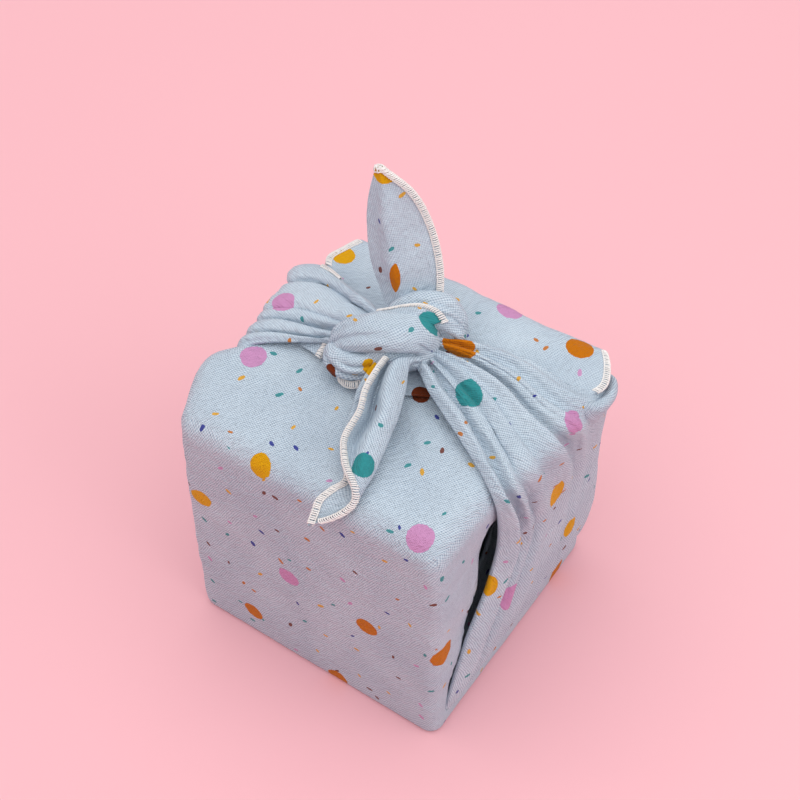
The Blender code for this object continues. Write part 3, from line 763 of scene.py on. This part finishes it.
def coat(tree, shader, colour, height, distance, strength):
    """Gives a shader its colour and its fine relief."""
    bump = add(tree, "Bump", Height=height, Distance=distance, Strength=strength)
    tree.links.new(colour, shader.inputs["Base Color"])
    tree.links.new(bump.outputs[0], shader.inputs["Normal"])


CLOTH_BLUE = srgb(220, 232, 240)
# A darker blue painted into the gaps between the threads as shade. The random blotches also darken
# towards it.
CLOTH_SHADE_AND_BLOTCH = srgb(108, 132, 160)
DOT_COLOURS = {
    "pink": srgb(199, 142, 186),
    "yellow": srgb(216, 158, 8),
    "orange": srgb(192, 110, 4),
    "teal": srgb(50, 140, 144),
    "brown": srgb(112, 46, 18),
    "blue": srgb(34, 44, 140),
}
GAUZE_FINISH = {"Roughness": 0.85, "Specular IOR Level": 0.12, "Sheen Weight": 0.08,
                "Sheen Roughness": 0.5}

# The weave. Lengths are in millimetres, and scales are turns to a millimetre.
WARP_PITCH = 0.78  # from one thread to the next
WEFT_PITCH = 1.08 * WARP_PITCH
WARP_SHARE, WEFT_SHARE = 0.42, 0.58
WEAVE_TURN = -60  # degrees
WANDER, WANDER_SCALE = 1.6, 0.11  # how far and how often the threads run out of line
UNEVEN_SCALE = 0.9
UNEVEN_GAIN = (1.7, -0.1)  # gain and base: the weave is clear here and faint there
PUCKER_SCALE = (0.30, 0.55, 1.0)
PUCKER_HEIGHT, WEAVE_HEIGHT = 0.9, 0.13
GAP_SHADE_GAIN = (-0.48, 0.28)  # gain and base of the painted shade in the gaps between the threads, where the weave is low
BLOTCH_SCALE, BLOTCH_SHARE = 0.035, 0.25
FINE_DETAIL = 3.0

# The small flecks, one to a cell. Lengths are in millimetres.
FLECK_CELL = 14.6
FLECK_SCATTER = 0.85
FLECK_HALF = (1.4, 0.75)  # half length and half width
FLECK_ROUGHNESS = 0.5
FLECK_SIZE = (0.45, 0.95)  # spread and least
FLECK_STRENGTH = 0.92
FLECK_SHADES = ("blue", "teal", "pink", "orange", "yellow", "brown")

# The outline of a large dot, in shares of its half size.
DOT_ROUGHNESS = 0.22
DOT_ROUGH_SCALE = 420.0  # turns to a metre
DOT_WEAVE = -0.04
DOT_REACH = 1.11  # makes up for the roughness


def woven(tree, cloth, uneven, clearness):
    """The relief of the threads from -1 to 1, and the height of the cloth in millimetres."""
    wander = noise_value(tree, cloth, WANDER_SCALE, output="Color")
    shifted = vector_calc(tree, "MULTIPLY_ADD", i0=wander, i1=(WANDER, WANDER, 0.0), i2=cloth)
    spot = turned(tree, shifted, radians(WEAVE_TURN))
    ways = add(tree, "SeparateXYZ", i0=spot).outputs
    warp, weft = (calc(tree, "COSINE", scaled(tree, way, 2 * pi / pitch))
                  for way, pitch in zip(ways, (WARP_PITCH, WEFT_PITCH)))
    weave = scaled(tree, warp, WARP_SHARE, scaled(tree, weft, WEFT_SHARE))
    strength = scaled(tree, uneven, *UNEVEN_GAIN)
    weave = scaled(tree, weave, scaled(tree, strength, clearness))
    stretched = add(tree, "Mapping", Vector=spot, Scale=PUCKER_SCALE).outputs[0]
    pucker = noise_value(tree, stretched, 1.0, FINE_DETAIL)
    puckered = scaled(tree, pucker, PUCKER_HEIGHT)
    return weave, scaled(tree, weave, WEAVE_HEIGHT, puckered)


def flecked(tree, cloth, uneven, colour):
    """The colour of the cloth with a fleck in each cell, of a random turn, size and shade."""
    cells = vector_calc(tree, "SCALE", i0=cloth, Scale=1 / FLECK_CELL)
    nearest = add(tree, "TexVoronoi", {"voronoi_dimensions": "2D"}, Vector=cells, Scale=1.0,
                  Randomness=FLECK_SCATTER).outputs
    turn, size, shade_draw = add(tree, "SeparateXYZ", i0=nearest["Color"]).outputs
    away = vector_calc(tree, "SUBTRACT", i0=cells, i1=nearest["Position"])
    away = turned(tree, away, scaled(tree, turn, 2 * pi))
    form = (FLECK_CELL / FLECK_HALF[0], FLECK_CELL / FLECK_HALF[1], 0.0)
    reach = vector_calc(tree, "LENGTH", i0=vector_calc(tree, "MULTIPLY", i0=away, i1=form))
    edge = scaled(tree, uneven, FLECK_ROUGHNESS, reach)
    size = scaled(tree, size, *FLECK_SIZE)
    fleck = scaled(tree, calc(tree, "LESS_THAN", edge, size), FLECK_STRENGTH)
    ramp = add(tree, "ValToRGB", Fac=shade_draw)
    ramp.color_ramp.interpolation = "CONSTANT"
    stops = ramp.color_ramp.elements
    for place, shade in enumerate(FLECK_SHADES):
        stop = stops[place] if place < 2 else stops.new(0.99)
        stop.position = place / len(FLECK_SHADES)
        stop.color = DOT_COLOURS[shade]
    return blend_colour(tree, fleck, colour, ramp.outputs["Color"])


def gauze_group():
    """The woven cloth: its colour with the flecks and the painted shade between its threads, its height
    in millimetres and its weave.
    """
    tree = bpy.data.node_groups.new("gauze", "ShaderNodeTree")
    for name, way, kind in (("Colour", "OUTPUT", "Color"), ("Height", "OUTPUT", "Float"),
                            ("Weave", "OUTPUT", "Float"), ("Clearness", "INPUT", "Float")):
        tree.interface.new_socket(name, in_out=way, socket_type="NodeSocket" + kind)
    clearness = tree.nodes.new("NodeGroupInput").outputs["Clearness"]
    cloth = add(tree, "UVMap", {"uv_map": "Cloth"}).outputs[0]
    uneven = noise_value(tree, cloth, UNEVEN_SCALE)
    weave, height = woven(tree, cloth, uneven, clearness)
    # Painted shade in the gaps between the threads, where the weave is low, with random darker blotches
    # added on top.
    gap_shade_and_blotch = calc(tree, "MAXIMUM", scaled(tree, weave, *GAP_SHADE_GAIN))
    blotch = noise_value(tree, cloth, BLOTCH_SCALE, FINE_DETAIL)
    gap_shade_and_blotch = scaled(tree, blotch, BLOTCH_SHARE, gap_shade_and_blotch)
    colour = flecked(tree, cloth, uneven, blend_colour(tree, gap_shade_and_blotch, CLOTH_BLUE, CLOTH_SHADE_AND_BLOTCH))
    end = tree.nodes.new("NodeGroupOutput")
    for name, socket in (("Colour", colour), ("Height", height), ("Weave", weave)):
        tree.links.new(socket, end.inputs[name])
    return tree


def gauze(name, dots=(), clearness=1.0):
    """The material of one piece of the cloth, with its large dots and how clear its weave is."""
    material, tree, shader = new_material("gauze_" + name, GAUZE_FINISH)
    cloth = add(tree, "Group", {"node_tree": weave_group}, Clearness=clearness).outputs
    place = add(tree, "TexCoord").outputs["Object"]
    rough = noise_value(tree, place, DOT_ROUGH_SCALE, dimensions="3D")
    colour = cloth["Colour"]
    for shade, x, y, z, half_length, half_width, *direction in dots:
        turn = Vector(direction or (1, 0, 0)).to_track_quat("X", "Z").to_euler()
        inside = add(tree, "Mapping", {"vector_type": "TEXTURE"}, Vector=place,
                     Location=(x * MM, y * MM, z * MM), Rotation=turn,
                     Scale=(half_length * MM, half_width * MM, half_width * MM)).outputs[0]
        reach = vector_calc(tree, "LENGTH", i0=inside)
        reach = scaled(tree, rough, DOT_ROUGHNESS, reach)
        reach = scaled(tree, cloth["Weave"], DOT_WEAVE, reach)
        mask = calc(tree, "LESS_THAN", reach, DOT_REACH)
        colour = blend_colour(tree, mask, colour, DOT_COLOURS[shade])
    coat(tree, shader, colour, cloth["Height"], MM, 1.0)
    return material


THREAD_FINISH = {"Roughness": 0.7, "Sheen Weight": 0.2}
THREAD_WHITE = srgb(255, 253, 250)
THREAD_SHADE = srgb(226, 221, 219)
FUZZ_SCALE = 2600.0  # turns to a metre
FUZZ_HEIGHT = 0.0001  # in metres
FUZZ_STRENGTH = 0.8


def thread_material():
    material, tree, shader = new_material("white_overlock_thread", THREAD_FINISH)
    place = add(tree, "TexCoord").outputs["Object"]
    fuzz = noise_value(tree, place, FUZZ_SCALE, dimensions="3D")
    colour = blend_colour(tree, fuzz, THREAD_SHADE, THREAD_WHITE)
    coat(tree, shader, colour, fuzz, FUZZ_HEIGHT, FUZZ_STRENGTH)
    return material


# ---- Overlock stitches ----

STITCH = 0.82  # from one stitch to the next along the edge
STITCH_RADIUS = 0.29
STITCH_STRETCH = 0.06  # how much the reach of a stitch varies, as a share,
STITCH_SLIP = 0.07  # and how much its place along the edge does, in millimetres
# inward, outward from the cloth's middle, along the edge, of each point of one stitch
STITCH_POINTS = (
    (2.05, 0.50, -0.10), (1.4, 0.90, 0.02), (0.6, 0.94, 0.10), (-0.18, 0.68, 0.16), (-0.48, 0.0, 0.20),
    (-0.18, -0.68, 0.24), (0.6, -0.94, 0.30), (1.4, -0.90, 0.38), (2.05, -0.50, 0.50),
)
# The two threads along the edge, which join the stitches. inward, outward, how far they sway inward
JOINING_THREADS = ((2.0, 0.72, 0.16), (-0.35, 0.42, 0.20))
JOINING_RISE = 0.1
JOINING_RADIUS = 0.85 * STITCH_RADIUS
UNUSED_WAY = (0.31, 0.52, 0.80)  # no thread runs this way


def tube(bm, points, radius, sides=5):
    """A thread through the points, closed at its ends."""
    points = np.asarray(points, dtype=float)
    along = unit(np.gradient(points, axis=0))
    side = unit(np.cross(along, UNUSED_WAY))
    up = np.cross(side, along)
    angles = np.linspace(0, 2 * pi, sides, endpoint=False)
    rings = [[bm.verts.new(points[k] + radius * (side[k] * cos(a) + up[k] * sin(a)))
              for a in angles] for k in range(len(points))]
    for lower, upper in zip(rings, rings[1:]):
        bridge(bm, lower, upper)
    bm.faces.new(rings[0][::-1])
    bm.faces.new(rings[-1])


def overlock(name, edge, inward, normal, seed):
    """White stitches round an edge, given as points with the directions into and out of the cloth."""
    draw = np.random.default_rng(seed)
    lengths = np.concatenate(([0.0], np.cumsum(np.linalg.norm(np.diff(edge, axis=0), axis=1))))
    count = max(int(lengths[-1] / STITCH), 2)
    bm = bmesh.new()

    def frame_at(distance):
        spot, into, out = (np.array([np.interp(distance, lengths, line[:, k]) for k in range(3)])
                           for line in (edge, inward, normal))
        into = unit(into)
        out = unit(out - into * out.dot(into))
        return spot, into, out, np.cross(into, out)

    for k in range(count + 1):
        spot, into, out, on = frame_at(lengths[-1] * k / count)
        stretch, slip = draw.normal(1.0, STITCH_STRETCH), draw.normal(0.0, STITCH_SLIP)
        tube(bm, [spot + into * a * stretch + out * b + on * (c + slip) for a, b, c in STITCH_POINTS],
             STITCH_RADIUS * draw.uniform(0.9, 1.1))
    steps = 3 * count
    for reach, level, sway in JOINING_THREADS:
        path = []
        for k in range(steps + 1):
            spot, into, out, on = frame_at(lengths[-1] * k / steps)
            turn = 2 * pi * k / 3
            path.append(spot + into * (reach + sway * cos(turn))
                        + out * (level + JOINING_RISE * sin(turn)))
        tube(bm, path, JOINING_RADIUS)
    return add_piece(name, bm, thread, 0)


def edge_of(grid, side, start=0.0, stop=1.0):
    """Points along an outline of a strip from start to stop, with the directions in and out."""
    part = slice(int(start * (len(grid) - 1)), int(stop * (len(grid) - 1)) + 1)
    edge = grid[:, side]
    inner = grid[:, 2 if side == 0 else -3]
    return edge[part], unit(inner - edge)[part], grid_normals(grid)[part, side]


def end_of(grid):
    """The points of a strip's last row, with the directions in and out."""
    return grid[-1], unit(grid[-3] - grid[-1]), grid_normals(grid)[-1]


# ---- The object ----

weave_group = gauze_group()
thread = thread_material()
plain = gauze("plain")

# The large printed dots: colour, x, y, z, half length, half width and, where a dot is clearly longer one
# way, the direction of its length. The first four of them lie on more than one piece.
BROWN_BY_KNOT = ("brown", 11.4, 1.8, 129.8, 3.6, 3.4)
ORANGE_AT_FLOOR = ("orange", 59.4, 35.4, 5, 7, 4.6, 0, 0.3, 1)
YELLOW_BY_KNOT = ("yellow", -6, -5.5, 140.9, 4, 3, 1, -0.4, 0)
TEAL_ON_KNOT = ("teal", 4.5, 18.7, 149.4, 5.4, 4, 5, 1.2, -4)
BROWN_ON_LOBE = ("brown", -20.2, -12, 135.4, 3.9, 2.5, 0.3, 0, -1)
BODY_DOTS = (
    ("pink", -51.4, -18.3, 129.8, 6, 4.8, 0, 1, 0),
    ("pink", 45.8, -50.6, 127.6, 5.8, 5.1, 0, 1, 0.2),
    ("yellow", -21.4, -56.1, 124.6, 5.6, 4.5, 0.3, -0.5, -0.7),
    ("yellow", -50.9, -57.7, 82.5, 4.8, 4.6),
    ("pink", -9.5, -58.2, 62.6, 4.8, 4.6),
    ("orange", -30.2, -57.4, 17.3, 4.7, 4.6),
    ("orange", 26.4, -57.2, 57.1, 4.8, 4.6),
    ("orange", 10.9, -56.8, 2.6, 4.7, 4.6),
    ("orange", 58, -51.6, 58.6, 6, 5.6, 0, 1, 0.5),
    BROWN_BY_KNOT,
    ORANGE_AT_FLOOR,
    ("teal", 20, 58, 84, 4.7, 4.6),
    ("pink", -34, 58, 52, 4.8, 4.6),
    ("yellow", 38, 58, 30, 4.7, 4.6),
    ("orange", -8, 58, 14, 4.8, 4.6),
)
FLAP_DOTS = (
    ("yellow", -51.2, 40.8, 131.6, 4.9, 4.6),
    ("pink", 18.1, 53.6, 131.6, 5.4, 4.5, 1, 0, 0),
    ("orange", 50.4, 51.8, 132.4, 5.9, 4.6, 1, -0.1, 0),
    BROWN_BY_KNOT,
)
RIGHT_DOTS = (
    ("orange", 15.8, 21, 141.6, 6.9, 4.4, 11, 1.3, -0.8),
    ("teal", 29, 7.3, 137, 5.8, 4.9, 1, -0.6, -0.2),
    ("teal", 28.4, 8, 134.6, 5.6, 4.8, 1, -0.6, -0.2),
    ("pink", 66, 22.6, 131.2, 5.2, 4.3, 0.5, -0.3, -1),
    ("yellow", 64, 16.4, 90.6, 10, 4, 0, 0.1, -1),
    ("yellow", 62.6, 35.5, 41.4, 5.6, 3.2, 0, -0.2, -1),
    ("pink", 63, -10.3, 49.3, 7.2, 5.6, 0, 0.1, -1),
    ORANGE_AT_FLOOR,
    ("yellow", 61, -24.6, 74.5, 5.4, 3.4, 0, 0, 1),
)
LEFT_DOTS = (
    ("pink", -55.2, 6.5, 134.2, 4.9, 4.6),
    ("teal", -62, 30, 86, 5, 4.4, 0, 0, 1),
    ("orange", -62, 4, 52, 4.8, 4.4, 0, 0, 1),
    ("yellow", -61.5, 40, 30, 4.8, 4.4, 0, 0, 1),
)
UPRIGHT_DOTS = (
    ("yellow", -27.8, 36.4, 196.2, 4.8, 4.5),
    ("orange", -15, 23.8, 158.2, 6.4, 2.1, 2.4, -3, -12.6),
)
HANGING_DOTS = (("teal", 15.4, -41.9, 138.2, 4.9, 4.5), YELLOW_BY_KNOT)

body = add_piece("body_cloth", body_mesh(), gauze("body", BODY_DOTS))
cut(body, pocket_form())

STRAND_STEPS = 130


def strand(stations, folds, per_fold, creases, wrinkles, facing=1):
    """A strand with its folds, its sharp creases and its soft wrinkles."""
    grid = strip_grid(stations, folds, STRAND_STEPS, per_fold, STRAND_PLACES, facing)
    return crumpled(creased(grid, folds, creases, facing), *wrinkles)


# Each sheet has its steps along and to each fold or line, and then its wrinkles: height, size across,
# size along and seed. An outline that is rolled under has its side, radius and tuck.
flap = crumpled(strip_grid(BACK_FLAP, FLAP_FOLDS, 70, 16), 0.8, 16, 20, 3)
right = strand(RIGHT_STRAND, RIGHT_FOLDS, 12, RIGHT_CREASES, (0.8, 7, 46, 11), -1)
right = rolled_under(rolled_under(right, 0, 1.7, 7.0, -1), -1, 2.4, 5.0, -1)
left_open = strand(LEFT_STRAND, LEFT_FOLDS, 13, LEFT_CREASES, (0.9, 7, 46, 17))
left = rolled_under(rolled_under(left_open, 0, 1.6, 6.0), -1, 1.6, 5.0)
curl = crumpled(lines_grid(RIGHT_CURL, 60, 10), 0.4, 7, 20, 31)
knot_edge = lines_grid(KNOT_EDGE, 48, 8)
lobe_edge = lines_grid(LOBE_EDGE, 16, 5)
upright = crumpled(strip_grid(UPRIGHT_TAIL, UPRIGHT_FOLDS, 70, 14), 0.6, 11, 22, 23)
hanging = crumpled(lines_grid(HANGING_TAIL, 90, 12), 0.35, 8, 24, 29)
corner = strip_grid(INNER_CORNER, INNER_CORNER_FOLDS, 24, 8)

pieces = [
    (body, (0.300, 0.276), "stretched", None),
    sheet("back_flap", flap, gauze("flap", FLAP_DOTS, 0.6), (0.120, 0.066)),
    sheet("right_strand", right, gauze("right", RIGHT_DOTS), (0.110, 0.165), "gathered",
          thickness=THIN_SHEET),
    sheet("left_strand", left, gauze("left", LEFT_DOTS, 0.55), (0.105, 0.162), "gathered",
          thickness=THIN_SHEET),
    sheet("upright_tail", upright, gauze("upright", UPRIGHT_DOTS, 0.6), (0.024, 0.062)),
    sheet("hanging_tail", hanging, gauze("hanging", HANGING_DOTS), (0.030, 0.085)),
    sheet("inner_corner", corner, plain, (0.011, 0.010), area=0.00006),
    sheet("lobe_edge", lobe_edge, plain, (0.010, 0.010), area=0.00004),
    sheet("right_curl", curl, plain, (0.034, 0.026), "gathered"),
    sheet("knot_edge", knot_edge, gauze("knot_edge", (TEAL_ON_KNOT,)), (0.020, 0.010)),
]
# The rolls of the knot as sheets. flat size, seed of the wrinkles, dots
KNOT_SHEETS = {
    "core": ((0.048, 0.040), 4, (TEAL_ON_KNOT,)),
    "back_loop": ((0.034, 0.035), 9, ()),
    "front_band": ((0.045, 0.040), 10, (TEAL_ON_KNOT,)),
    "left_lobe": ((0.036, 0.025), 9, (YELLOW_BY_KNOT, BROWN_ON_LOBE)),
}
for name, (flat, seed, dots) in KNOT_SHEETS.items():
    grid = crumpled(roll_grid(name), 0.5, 6, 16, seed)
    pieces.append(sheet("knot_" + name, grid, gauze(name, dots), flat))

for piece, flat, held, area in pieces:
    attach(piece, "root")
    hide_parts(NODE)

edges = (
    ("flap_right", edge_of(flap, 0, 0.34, 0.58)),
    ("flap_left", edge_of(flap, -1, 0.34, 0.60)),
    ("upright", edge_of(upright, -1, 0.12, 1.0)),
    ("upright_tip", end_of(upright)),
    ("hanging", edge_of(hanging, 0, 0.09, 0.97)),
    ("hanging_mouth", edge_of(hanging, -1, 0.5, 0.98)),
    ("corner", end_of(corner)),
    ("knot", edge_of(knot_edge, -1)),
    ("lobe", edge_of(lobe_edge, -1)),
    ("left_strand", edge_of(left_open, -1, 0.225, 0.30)),
)
for seed, (name, edge) in enumerate(edges, 2):
    piece = overlock("overlock_" + name, *edge, seed)
    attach(piece, "root")
    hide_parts(NODE)


# ---- Camera, light and floor ----

# The camera at the photograph's place. Angles are in degrees and lengths in millimetres.
CAMERA_AZIMUTH = 33.94  # to the right of the front
CAMERA_ELEVATION = 52.85
CAMERA_DISTANCE = 831.7
CAMERA_AIM = (0, 0, 64)
CAMERA_RIGHT = 2.69  # it is moved sideways and up, to place the object as in the photo
CAMERA_UP = 33.62
CAMERA_LENS = 93.52

# name, place, size, power, colour. Lengths are in metres and powers in watts.
LIGHTS = (
    ("key", (-0.14, -0.16, 1.66), 2.2, 20.8, (1.0, 1.0, 1.0)),
    ("fill", (1.3, 0.1, 0.8), 1.4, 6.4, (0.93, 1.0, 0.99)),
)
LIGHT_AIM = (0, 0, 0.06)

FLOOR_PINK = srgb(245, 188, 196)
FLOOR_PINK_DEEP = srgb(243, 184, 192)
FLOOR_FINISH = {"Roughness": 0.95, "Specular IOR Level": 0.1}
FLOOR_SCALE = 3.0  # turns to a metre
FLOOR_HALF_WIDTH = 6.0  # in metres
FLOOR_DROP = 0.0002

SKY_LOW = (0.80, 0.47, 0.51, 1.0)  # the pink backdrop where it rises round the table
SKY_HIGH = (1.0, 0.985, 0.985, 1.0)
SKY_TURN = 0.55  # the sine of the height at which the sky is white
SKY_STRENGTH = 0.585


def camera():
    azimuth, elevation = radians(CAMERA_AZIMUTH), radians(CAMERA_ELEVATION)
    right_way = Vector((cos(azimuth), sin(azimuth), 0.0))
    back = Vector((sin(azimuth) * cos(elevation), -cos(azimuth) * cos(elevation),
                   sin(elevation)))
    up = back.cross(right_way)
    spot = Vector(CAMERA_AIM) + back * CAMERA_DISTANCE + right_way * CAMERA_RIGHT + up * CAMERA_UP
    data = bpy.data.cameras.new("camera")
    data.lens = CAMERA_LENS
    data.sensor_width = 36.0
    data.clip_end = 50.0
    eye = new_object("camera", data)
    turn = Matrix((right_way, up, back)).transposed().to_4x4()
    eye.matrix_world = Matrix.Translation(spot * MM) @ turn
    bpy.context.scene.camera = eye


def area_light(name, spot, size, power, colour):
    data = bpy.data.lights.new(name, "AREA")
    data.size = size
    data.energy = power
    data.color = colour
    lamp = new_object(name, data)
    lamp.location = spot
    lamp.rotation_euler = (Vector(LIGHT_AIM) - Vector(spot)).to_track_quat("-Z", "Y").to_euler()


def paper_material():
    material, tree, shader = new_material("pale_pink_paper", FLOOR_FINISH)
    place = add(tree, "TexCoord").outputs["Object"]
    soft = noise_value(tree, place, FLOOR_SCALE, 1.0, "3D")
    colour = blend_colour(tree, soft, FLOOR_PINK, FLOOR_PINK_DEEP)
    tree.links.new(colour, shader.inputs["Base Color"])
    return material


def backdrop():
    """A plain pale pink floor that goes on past every view."""
    bm = bmesh.new()
    bmesh.ops.create_grid(bm, x_segments=8, y_segments=8, size=FLOOR_HALF_WIDTH)
    mesh = bpy.data.meshes.new("floor")
    bm.to_mesh(mesh)
    bm.free()
    mesh.materials.append(paper_material())
    floor = new_object("floor", mesh)
    floor.location.z = -FLOOR_DROP


def studio_sky():
    """Light from all round, pink near the horizon and white above."""
    world = bpy.data.worlds.new("studio")
    bpy.context.scene.world = world
    world.use_nodes = True
    tree = world.node_tree
    way = add(tree, "TexCoord").outputs["Generated"]
    rise = add(tree, "SeparateXYZ", i0=way).outputs[2]
    share = add(tree, "MapRange", Value=rise)
    share.inputs["From Max"].default_value = SKY_TURN
    glow = tree.nodes["Background"].inputs
    tree.links.new(blend_colour(tree, share.outputs[0], SKY_LOW, SKY_HIGH), glow["Color"])
    glow["Strength"].default_value = SKY_STRENGTH


bpy.context.scene.view_settings.view_transform = "Standard"
camera()
backdrop()
for light in LIGHTS:
    area_light(*light)
studio_sky()
